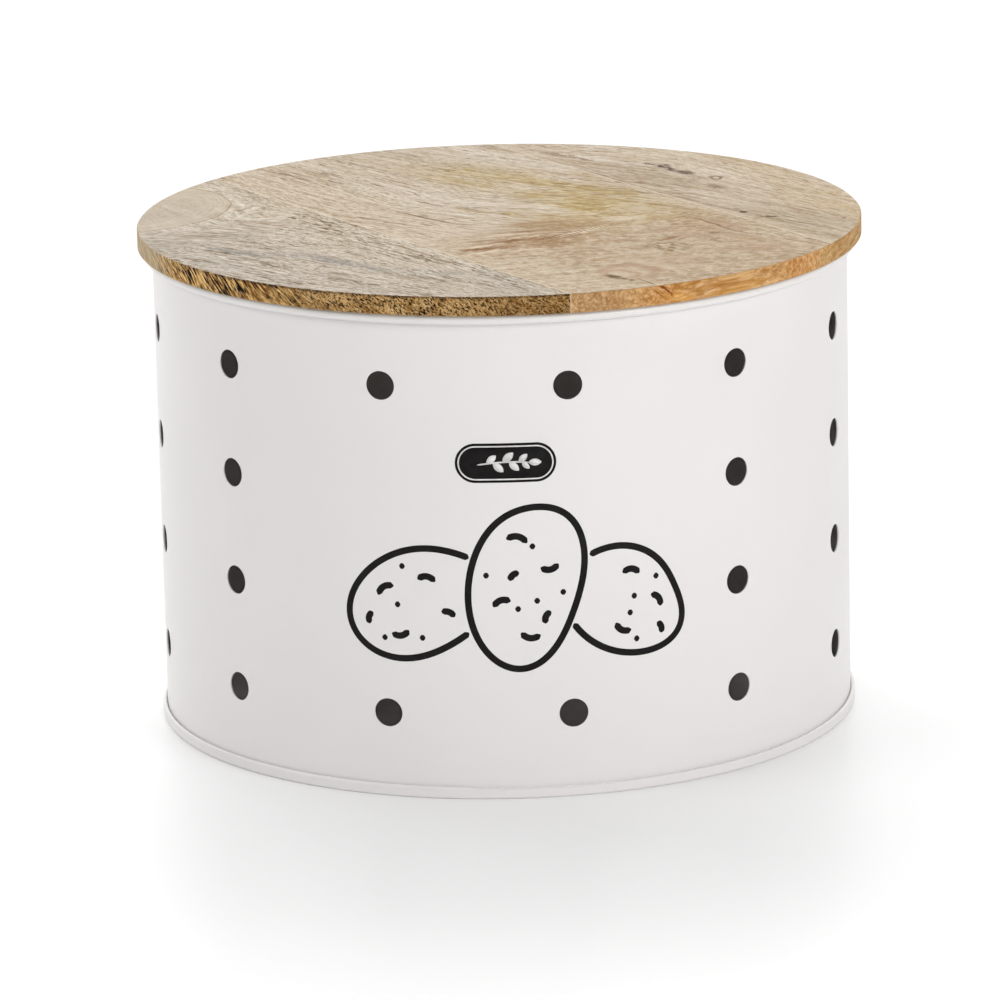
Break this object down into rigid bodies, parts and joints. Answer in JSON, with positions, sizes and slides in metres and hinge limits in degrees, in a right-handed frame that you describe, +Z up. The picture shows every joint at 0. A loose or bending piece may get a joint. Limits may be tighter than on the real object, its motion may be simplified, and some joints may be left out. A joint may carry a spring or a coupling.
{
  "type": "potato storage bin",
  "caption": "Round vented steel storage bin with a rolled rim, double-seamed base and lift-off laminated wooden lid.",
  "frame": {"origin": "on the table, under the centre of the base", "axes": "+Z up along the tin's axis; -Y is the front, where the middle of the wall has no vents; +X to the right seen from the front"},
  "size_m": [0.25, 0.25, 0.173],
  "materials": {
    "powder_coat": "white satin powder coat over thin steel sheet",
    "rim_wire_steel": "plain drawn steel wire",
    "mango_front": "grey-beige mango board, sanded and oiled, brown end grain",
    "mango_middle": "beige mango board with ochre figure, sanded and oiled",
    "mango_back": "pale mango board with a grey-brown streak, sanded and oiled",
    "silicone": "translucent white silicone",
    "print_ink": "black screen-printed ink"
  },
  "bodies": {
    "bin": {"body_shell": "powder_coat", "rim_wire": "rim_wire_steel", "base_pan": "powder_coat"},
    "lid": {"lid_board_front": "mango_front", "lid_board_middle": "mango_middle", "lid_board_back": "mango_back", "lid_seal": "silicone"}
  },
  "joints": [
    {"name": "lid_lift", "type": "slide", "parent": "bin", "child": "lid", "axis": [0, 0, 1], "range_m": [0, 0.25]}
  ]
}
